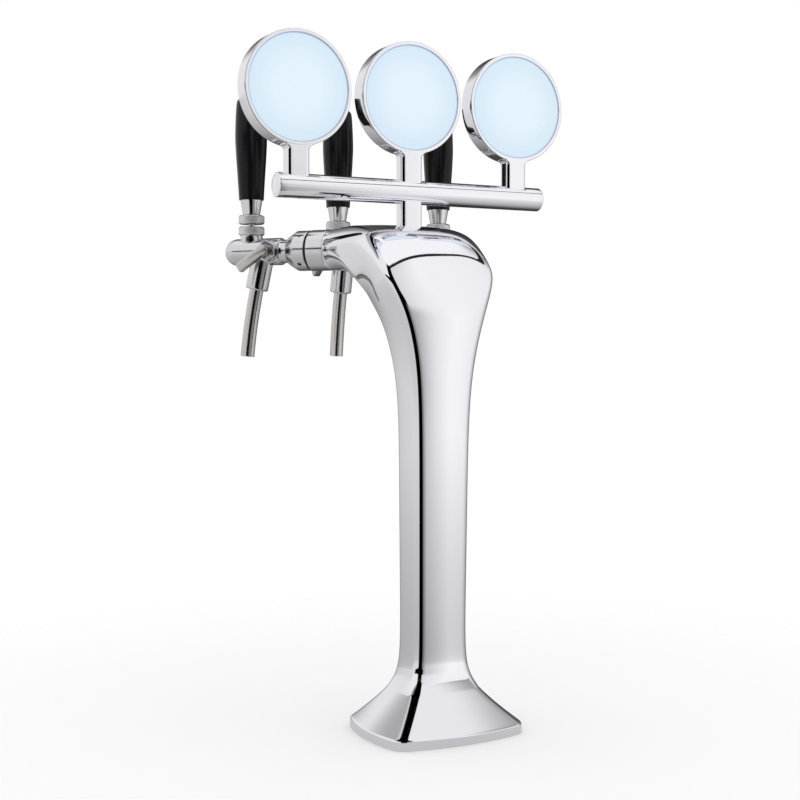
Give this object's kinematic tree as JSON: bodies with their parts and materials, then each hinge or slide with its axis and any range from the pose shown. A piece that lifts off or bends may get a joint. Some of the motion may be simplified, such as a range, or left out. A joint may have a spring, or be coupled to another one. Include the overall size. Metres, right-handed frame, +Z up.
{
  "type": "draft beer tower",
  "caption": "Chromed draft beer tower: a slim column with a flared base and a wide hood, fanned taps with black handles, and lit medallions on a round cross bar.",
  "frame": {"origin": "middle of the base underside, on the counter", "axes": "+Z up, +X along the cross bar, -Y towards the customer side where the medallions face, +Y towards the taps"},
  "size_m": [0.3094, 0.2715, 0.5874],
  "materials": {
    "chrome": "bright polished chrome plating",
    "steel": "turned stainless steel",
    "spout_steel": "drawn stainless tube, lightly polished",
    "knurled_steel": "diamond knurled steel",
    "ferrule_steel": "turned and polished steel",
    "lever_steel": "satin cast steel",
    "grip": "gloss black moulded plastic",
    "lens": "bare pale blue translucent lens",
    "board": "white circuit board with light diodes",
    "rubber": "moulded rubber",
    "black_washer": "smooth black washer"
  },
  "bodies": {
    "tower": {"tower_body": "chrome", "base_gasket": "rubber", "support_post": "chrome", "cross_bar": "chrome", "bar_end_caps": "chrome", "tie_studs": "steel", "shank_collars": "chrome", "dark_washers": "black_washer", "coupling_nuts": "chrome", "shank_seals": "rubber", "bonnet_collars": "knurled_steel", "gland_nuts": "chrome", "medallion_housing_left": "chrome", "lens_left": "lens", "led_board_left": "board", "rear_cover_left": "chrome", "shank_left": "steel", "product_tube_left": "steel", "tap_body_left": "chrome", "spout_left": "spout_steel", "medallion_housing_middle": "chrome", "lens_middle": "lens", "led_board_middle": "board", "rear_cover_middle": "chrome", "shank_middle": "steel", "product_tube_middle": "steel", "tap_body_middle": "chrome", "spout_middle": "spout_steel", "medallion_housing_right": "chrome", "lens_right": "lens", "led_board_right": "board", "rear_cover_right": "chrome", "shank_right": "steel", "product_tube_right": "steel", "tap_body_right": "chrome", "spout_right": "spout_steel"},
    "handle_left": {"lever_left": "steel", "lock_collar_left": "knurled_steel", "ferrule_left": "ferrule_steel", "grip_left": "grip"},
    "plunger_left": {"plunger_left": "steel"},
    "flow_control_left": {"flow_lever_left": "lever_steel", "flow_spindle_left": "steel"},
    "handle_middle": {"lever_middle": "steel", "lock_collar_middle": "knurled_steel", "ferrule_middle": "ferrule_steel", "grip_middle": "grip"},
    "plunger_middle": {"plunger_middle": "steel"},
    "flow_control_middle": {"flow_lever_middle": "lever_steel", "flow_spindle_middle": "steel"},
    "handle_right": {"lever_right": "steel", "lock_collar_right": "knurled_steel", "ferrule_right": "ferrule_steel", "grip_right": "grip"},
    "plunger_right": {"plunger_right": "steel"},
    "flow_control_right": {"flow_lever_right": "lever_steel", "flow_spindle_right": "steel"}
  },
  "joints": [
    {"name": "handle_tilt_left", "type": "hinge", "parent": "tower", "child": "handle_left", "pos_m": [-0.09785, 0.16959, 0.429], "axis": [-0.7581, -0.6521, 0], "range_deg": [0, 12]},
    {"name": "plunger_slide_left", "type": "slide", "parent": "tower", "child": "plunger_left", "axis": [0.6521, -0.7581, 0], "range_m": [0, 0.00377]},
    {"name": "flow_control_turn_left", "type": "hinge", "parent": "tower", "child": "flow_control_left", "pos_m": [-0.09763, 0.13866, 0.411], "axis": [-0.7581, -0.6521, 0], "range_deg": [-45, 60]},
    {"name": "handle_tilt_middle", "type": "hinge", "parent": "tower", "child": "handle_middle", "pos_m": [0, 0.1916, 0.429], "axis": [-1, 0, 0], "range_deg": [0, 12]},
    {"name": "plunger_slide_middle", "type": "slide", "parent": "tower", "child": "plunger_middle", "axis": [0, -1, 0], "range_m": [0, 0.00377]},
    {"name": "flow_control_turn_middle", "type": "hinge", "parent": "tower", "child": "flow_control_middle", "pos_m": [-0.02, 0.168, 0.411], "axis": [-1, 0, 0], "range_deg": [-45, 60]},
    {"name": "handle_tilt_right", "type": "hinge", "parent": "tower", "child": "handle_right", "pos_m": [0.09785, 0.16959, 0.429], "axis": [-0.7581, 0.6521, 0], "range_deg": [0, 12]},
    {"name": "plunger_slide_right", "type": "slide", "parent": "tower", "child": "plunger_right", "axis": [-0.6521, -0.7581, 0], "range_m": [0, 0.00377]},
    {"name": "flow_control_turn_right", "type": "hinge", "parent": "tower", "child": "flow_control_right", "pos_m": [0.0673, 0.16474, 0.411], "axis": [-0.7581, 0.6521, 0], "range_deg": [-45, 60]}
  ],
  "couplings": [
    {"joint": "plunger_slide_left", "follows": "handle_tilt_left", "m_per_rad": 0.018},
    {"joint": "plunger_slide_middle", "follows": "handle_tilt_middle", "m_per_rad": 0.018},
    {"joint": "plunger_slide_right", "follows": "handle_tilt_right", "m_per_rad": 0.018}
  ]
}
